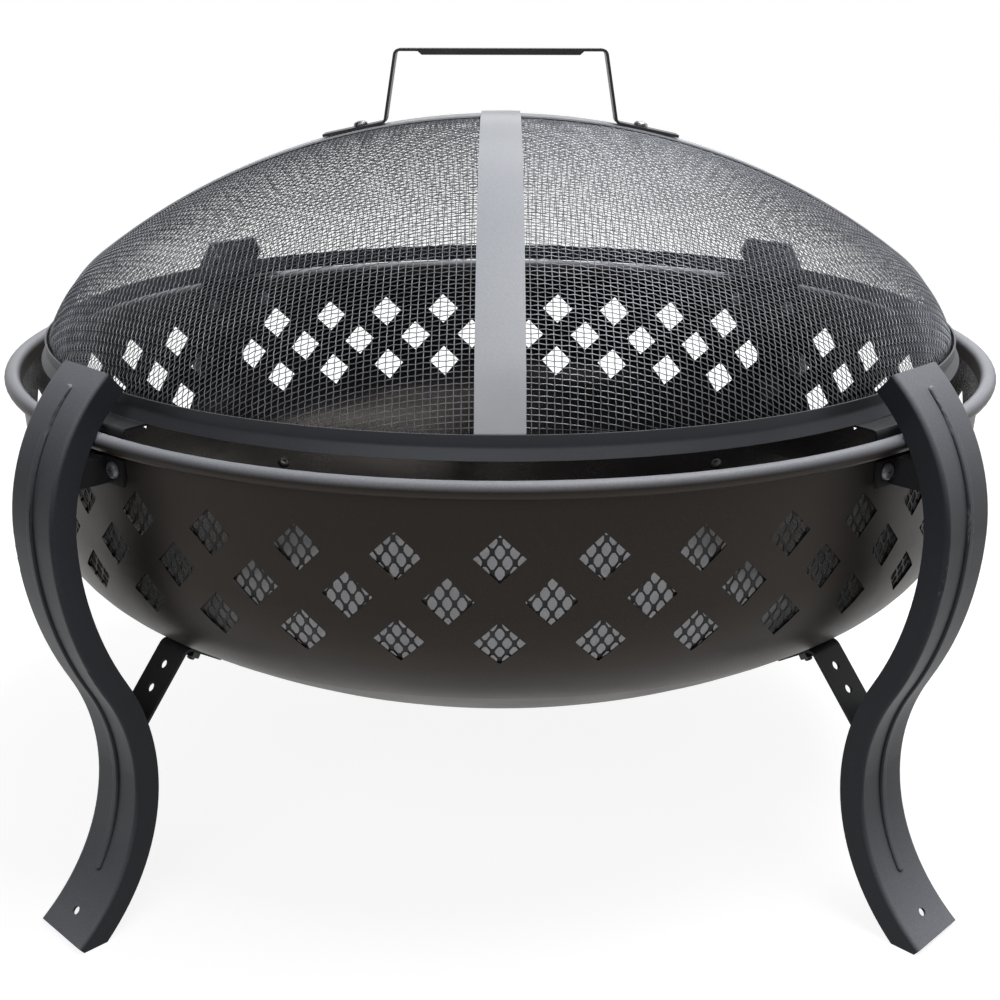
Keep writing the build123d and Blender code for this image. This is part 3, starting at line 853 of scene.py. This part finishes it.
# %% Under the bowl
BRACE_BOLT_R = 0.303
BRACE_SHEET = 0.002
brace_grip = SHEET + LAP + SEAT + BRACE_SHEET + LAP
steep = asin(BRACE_BOLT_R / bowl_crown)
under_z = bowl_crown_z - sqrt(bowl_crown**2 - BRACE_BOLT_R**2)
brace_places = []
for angle in LEG_ANGLES:
    way = Vector((cos(radians(angle)), sin(radians(angle)), 0))
    up_bowl = cos(steep) * way + Vector((0, 0, sin(steep)))
    into_bowl = Vector((0, 0, cos(steep))) - sin(steep) * way
    point = BRACE_BOLT_R * way + Vector((0, 0, under_z)) + (SHEET + LAP) * into_bowl
    brace_places.append(stand(point, into_bowl, up_bowl))
set_out(make_bolt(brace_grip), brace_places, "brace_bolts", "stand")
set_out(nut, [behind(place, brace_grip) for place in brace_places], "brace_nuts", "stand")
print("bolts of the braces", len(brace_places))

# %% Through the screen
STRAP = 0.0012
HANDLE_SHEET = 0.002
WASHER_SHEET = 0.001
HANDLE_BOLT_X = 0.107
strap_out = CROWN + LAP + STRAP
tilt = asin(HANDLE_BOLT_X / strap_out)
under_cloth = 2 * LAP + HANDLE_SHEET + STRAP + LAP + CLOTH + LAP
handle_grip = under_cloth + WASHER_SHEET + LAP
handle_places = []
for side in (-1, 1):
    out = Vector((side * sin(tilt), 0, cos(tilt)))
    point = Vector((0, 0, crown_z)) + (strap_out + 2 * LAP + HANDLE_SHEET) * out
    handle_places.append(stand(point, out, (side * cos(tilt), 0, -sin(tilt))))
set_out(make_bolt(handle_grip), handle_places, "handle_bolts", "screen")
washer_places = [behind(place, under_cloth) for place in handle_places]
set_out(washer, washer_places, "handle_washers", "screen")
set_out(nut, [behind(place, handle_grip) for place in handle_places], "handle_nuts", "screen")
print("bolts of the handle", len(handle_places))

# %% [markdown]
# ## Floor and light
#
# The pit stands on a white studio floor. Steel this dark is drawn by what it
# reflects, so what stands round it counts as much as the lamps. One wide soft box
# hangs overhead, a weak one stands behind and a fill stands in front. A dark shell,
# cut off on a slant, covers the front, the left and the top, and is open low down
# towards the back right. The camera doesn't see it and it casts no shadow, but
# reflections find it. White comes from the path of the ray: one from the camera, or
# one mirrored by metal that misses the shell, finds white, while the light that
# falls on the pit stays plain.


# %% The floor
def seen(finish):
    """1 for a ray from the camera, from a gloss or through a clear sheet."""
    camera_ray, glossy_ray, clear_ray = [
        finish.node("ShaderNodeLightPath", output=output)
        for output in ("Is Camera Ray", "Is Glossy Ray", "Is Transmission Ray")
    ]
    rays = {0: camera_ray + glossy_ray, 1: clear_ray}
    return finish.node("ShaderNodeMath", {"operation": "ADD", "use_clamp": True}, rays)


WHITE = (1, 1, 1, 1)
FLOOR_REACH = 12.0
FLOOR_DROP = 0.0003
FLOOR_TONE = (0.38, 0.38, 0.38, 1)
FLOOR_GLOW = 0.885
floor_mesh = bmesh.new()
bmesh.ops.create_grid(floor_mesh, x_segments=1, y_segments=1, size=FLOOR_REACH)
bmesh.ops.translate(floor_mesh, vec=(0, 0, -FLOOR_DROP), verts=floor_mesh.verts)
floor_data = bpy.data.meshes.new("floor")
floor_mesh.to_mesh(floor_data)
floor = bpy.data.objects.new("floor", floor_data)
bpy.context.collection.objects.link(floor)
floor_material = bpy.data.materials.new("floor")
paper = Finish(floor_material)
matt = paper.node("ShaderNodeBsdfDiffuse", {}, {"Color": FLOOR_TONE})
glow = paper.node(
    "ShaderNodeEmission", {}, {"Color": WHITE, "Strength": FLOOR_GLOW * seen(paper)}
)
both = paper.node("ShaderNodeAddShader", {}, {0: matt, 1: glow})
paper.node("ShaderNodeOutputMaterial", {}, {"Surface": both})
floor_data.materials.append(floor_material)
print("floor reaches", FLOOR_REACH)

# %% The dark shell
SHELL_RADIUS = 2.7
SHELL_TONE = (0.10, 0.10, 0.10, 1)
LEVEL_CUT = ((0, 0, 0), (0, 0, 1))
SLANTED_CUT = ((0, 0, 0.35), (-0.24, -0.66, 0.71))
curtain_mesh = bmesh.new()
bmesh.ops.create_uvsphere(curtain_mesh, u_segments=32, v_segments=16, radius=SHELL_RADIUS)
for middle, towards in (LEVEL_CUT, SLANTED_CUT):
    parts = [*curtain_mesh.verts, *curtain_mesh.edges, *curtain_mesh.faces]
    bmesh.ops.bisect_plane(
        curtain_mesh, geom=parts, plane_co=middle, plane_no=towards, clear_inner=True
    )
curtain_data = bpy.data.meshes.new("curtain")
curtain_mesh.to_mesh(curtain_data)
curtain = bpy.data.objects.new("curtain", curtain_data)
bpy.context.collection.objects.link(curtain)
curtain.visible_camera = False
curtain.visible_shadow = False
curtain_material = bpy.data.materials.new("curtain")
cloth = Finish(curtain_material)
drape = cloth.node("ShaderNodeBsdfDiffuse", {}, {"Color": SHELL_TONE})
cloth.node("ShaderNodeOutputMaterial", {}, {"Surface": drape})
curtain_data.materials.append(curtain_material)
print("shell faces", len(curtain_data.polygons))

# %% The surround
PLAIN_LIGHT = 0.30
world = bpy.data.worlds.new("studio")
bpy.context.scene.world = world
surround = Finish(world)
strength = PLAIN_LIGHT + (1 - PLAIN_LIGHT) * seen(surround)
sky = surround.node("ShaderNodeBackground", {}, {"Color": WHITE, "Strength": strength})
surround.node("ShaderNodeOutputWorld", {}, {"Surface": sky})
print("plain light", PLAIN_LIGHT)


# %% Lamps
def soft_box(name, place, aim, wide, deep, power):
    """A flat soft light that faces a point."""
    light = bpy.data.lights.new(name, "AREA")
    light.shape, light.size, light.size_y, light.energy = "RECTANGLE", wide, deep, power
    lamp = bpy.data.objects.new(name, light)
    turn = (Vector(aim) - Vector(place)).to_track_quat("-Z", "Y").to_matrix().to_4x4()
    lamp.matrix_world = Matrix.Translation(place) @ turn
    lamp.visible_camera = False
    bpy.context.collection.objects.link(lamp)
    print(name, power, "W")


OVER_PIT, PIT = (0.0, -0.05, 0.4), (0.0, 0.0, 0.4)
soft_box("overhead", (0.5, -0.1, 2.0), OVER_PIT, wide=1.9, deep=0.9, power=30.0)
soft_box("behind", (0.2, 1.7, 1.7), PIT, wide=2.0, deep=0.7, power=7.0)
soft_box("front_fill", (-0.5, -1.9, 1.5), PIT, wide=1.6, deep=1.0, power=8.0)

# %% [markdown]
# ## Closing
#
# The colours are shown with the standard view transform.

# %% Closing
scene_settings = bpy.context.scene
scene_settings.view_settings.view_transform = "Standard"
